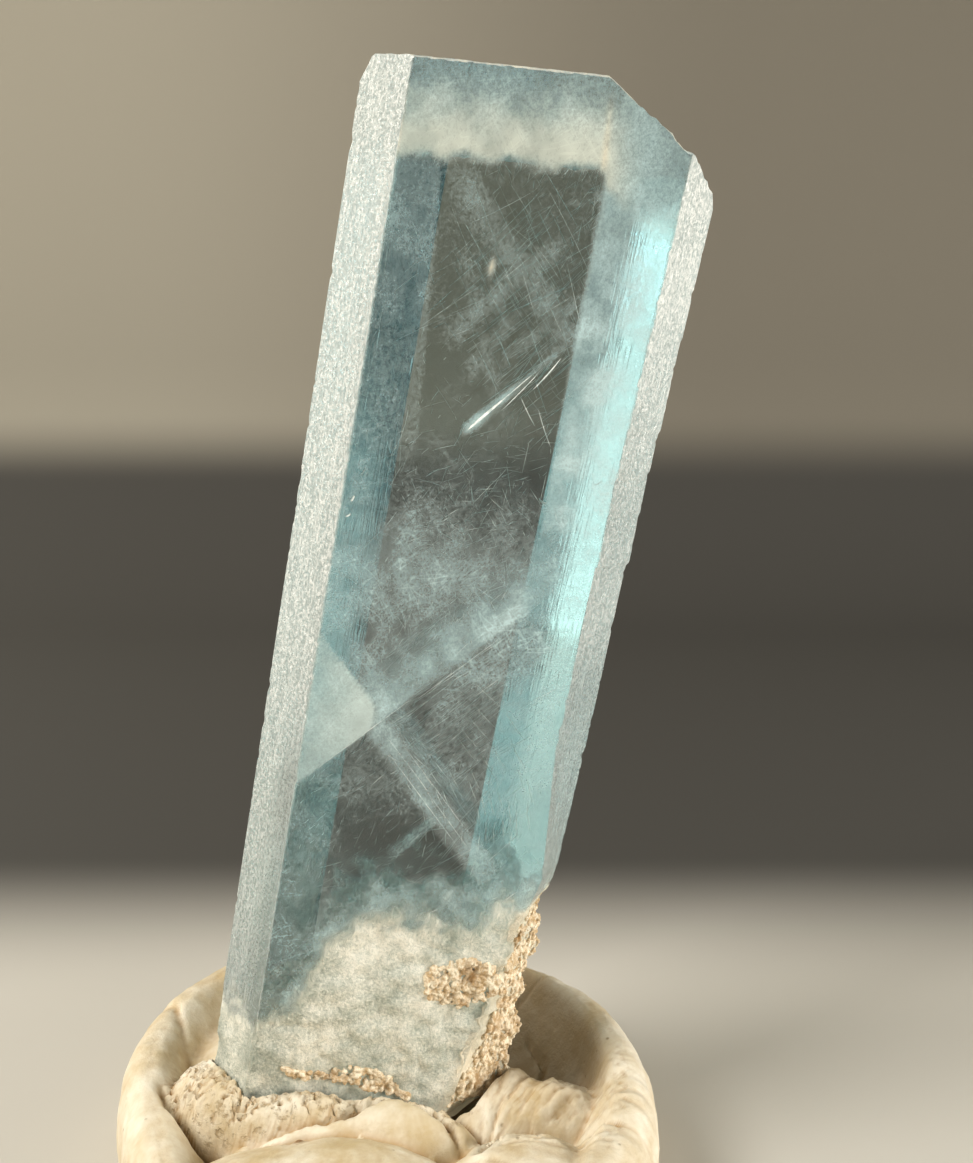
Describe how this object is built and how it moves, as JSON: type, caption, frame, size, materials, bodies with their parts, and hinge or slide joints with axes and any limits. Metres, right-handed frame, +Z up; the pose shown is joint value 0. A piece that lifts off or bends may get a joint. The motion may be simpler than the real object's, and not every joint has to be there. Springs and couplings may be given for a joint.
{
  "type": "barite crystal",
  "caption": "Clear pale blue bladed barite crystal with bevelled edges and a cloudy broken base, standing tilted in a round lump of cream display putty.",
  "frame": {"origin": "on the resting plane, under the middle of the whole specimen's bounding box", "axes": "+Z up, the blade's broad clear face looks towards -Y, +X to the viewer's right"},
  "size_m": [0.0318, 0.0302, 0.0587],
  "materials": {
    "barite": "clear polished broad faces, frosted striated bevels, cloudy broken base",
    "tan_matrix": "crumbly, matte",
    "cream_putty": "soft satin, fingerprinted"
  },
  "bodies": {
    "root": {"crystal": "barite", "matrix_patch": "tan_matrix", "matrix_edge": "tan_matrix", "matrix_foot": "tan_matrix", "putty": "cream_putty"}
  },
  "joints": []
}
